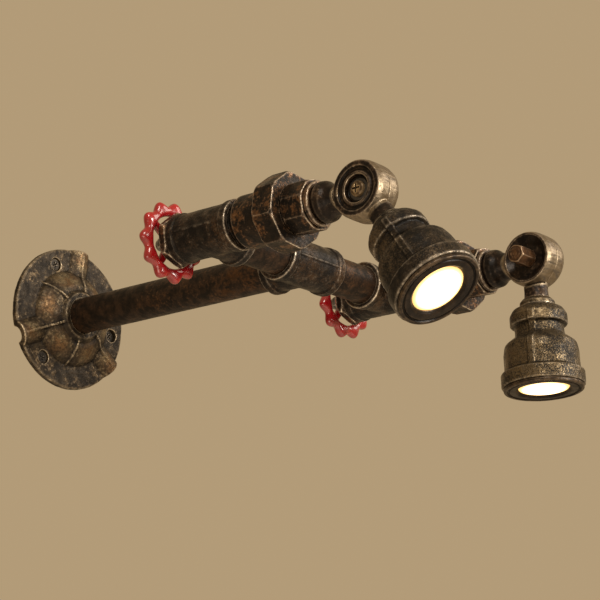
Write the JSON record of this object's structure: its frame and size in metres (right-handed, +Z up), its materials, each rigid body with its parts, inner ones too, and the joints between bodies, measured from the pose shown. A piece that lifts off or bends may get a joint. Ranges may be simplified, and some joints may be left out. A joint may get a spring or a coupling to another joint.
{
  "type": "wall light",
  "caption": "Wall light of dark iron pipe fittings: round wall flange, straight pipe, tee-branched arms with unions and red handwheels, and bell-shaped lamps that tilt and swivel.",
  "frame": {"origin": "centre of the wall flange's back face, on the wall", "axes": "+Y into the wall, so the arm runs out along -Y; +X to the right as seen from the room; +Z up"},
  "size_m": [0.1908, 0.353, 0.1171],
  "materials": {
    "cast_flange": "dark bronze paint on sand-cast iron, dry-brushed with copper on the raised ribs and edges",
    "iron_pipe": "dark rust-brown paint on steel pipe with coppery rubbed streaks",
    "cast_fitting": "near-black bronze paint on malleable iron, rubbed to bronze on bands and parting lines",
    "machined_fitting": "near-black bronze paint, rubbed to copper on edges and facets",
    "knuckle_iron": "dark bronze paint dry-brushed with silver-bronze",
    "screw_brass": "aged brass",
    "hardware_steel": "plain zinc-plated steel, dulled",
    "handwheel_red": "glossy red enamel on cast iron",
    "lamp_casting": "near-black bronze paint on cast iron, dry-brushed with silver-bronze on steps and ribs",
    "bezel_black": "satin black-brown paint",
    "lens_glass": "frosted warm white diffuser",
    "reflector": "warm metallised cup",
    "led_aluminium": "bare aluminium",
    "potting_plastic": "moulded off-white plastic",
    "wire_insulation": "black wire insulation"
  },
  "bodies": {
    "root": {"wall_flange": "cast_flange", "main_pipe": "iron_pipe", "centre_tee": "cast_fitting", "terminal_block": "potting_plastic", "nipple_left": "iron_pipe", "tee_left": "cast_fitting", "bonnet_left": "machined_fitting", "union_tail_left": "machined_fitting", "union_nut_left": "machined_fitting", "union_end_left": "machined_fitting", "end_bushing_left": "machined_fitting", "lead_left": "wire_insulation", "nipple_right": "iron_pipe", "tee_right": "cast_fitting", "bonnet_right": "machined_fitting", "union_tail_right": "machined_fitting", "union_nut_right": "machined_fitting", "union_end_right": "machined_fitting", "end_bushing_right": "machined_fitting", "lead_right": "wire_insulation"},
    "handwheel_left": {"valve_stem_left": "hardware_steel", "handwheel_left": "handwheel_red", "wheel_nut_left": "hardware_steel"},
    "swivel_left": {"knuckle_arm_left": "knuckle_iron", "arm_lock_nut_left": "hardware_steel", "knuckle_screw_left": "screw_brass", "knuckle_washer_left": "hardware_steel", "knuckle_nut_left": "knuckle_iron"},
    "head_left": {"knuckle_head_left": "knuckle_iron", "head_collar_left": "lamp_casting", "head_lock_nut_left": "hardware_steel", "lamp_housing_left": "lamp_casting", "bezel_left": "bezel_black", "lens_left": "lens_glass", "reflector_left": "reflector", "led_board_left": "led_aluminium", "heat_sink_left": "led_aluminium", "led_driver_left": "potting_plastic", "head_lead_left": "wire_insulation"},
    "handwheel_right": {"valve_stem_right": "hardware_steel", "handwheel_right": "handwheel_red", "wheel_nut_right": "hardware_steel"},
    "swivel_right": {"knuckle_arm_right": "knuckle_iron", "arm_lock_nut_right": "hardware_steel", "knuckle_screw_right": "screw_brass", "knuckle_washer_right": "hardware_steel", "knuckle_nut_right": "knuckle_iron"},
    "head_right": {"knuckle_head_right": "knuckle_iron", "head_collar_right": "lamp_casting", "head_lock_nut_right": "hardware_steel", "lamp_housing_right": "lamp_casting", "bezel_right": "bezel_black", "lens_right": "lens_glass", "reflector_right": "reflector", "led_board_right": "led_aluminium", "heat_sink_right": "led_aluminium", "led_driver_right": "potting_plastic", "head_lead_right": "wire_insulation"}
  },
  "joints": [
    {"name": "wheel_left", "type": "hinge", "parent": "root", "child": "handwheel_left", "pos_m": [-0.072, -0.16, 0], "axis": [0, 1, 0], "continuous": true},
    {"name": "swivel_left", "type": "hinge", "parent": "root", "child": "swivel_left", "pos_m": [-0.072, -0.264, 0], "axis": [0, 1, 0], "range_deg": [-170, 170]},
    {"name": "tilt_left", "type": "hinge", "parent": "swivel_left", "child": "head_left", "pos_m": [-0.072, -0.2921, 0], "axis": [-1, 0, 0], "range_deg": [-67.5, 82.5]},
    {"name": "wheel_right", "type": "hinge", "parent": "root", "child": "handwheel_right", "pos_m": [0.072, -0.16, 0], "axis": [0, 1, 0], "continuous": true},
    {"name": "swivel_right", "type": "hinge", "parent": "root", "child": "swivel_right", "pos_m": [0.072, -0.264, 0], "axis": [0, 1, 0], "range_deg": [-170, 170]},
    {"name": "tilt_right", "type": "hinge", "parent": "swivel_right", "child": "head_right", "pos_m": [0.072, -0.2921, 0], "axis": [-1, 0, 0], "range_deg": [-34, 116]}
  ]
}
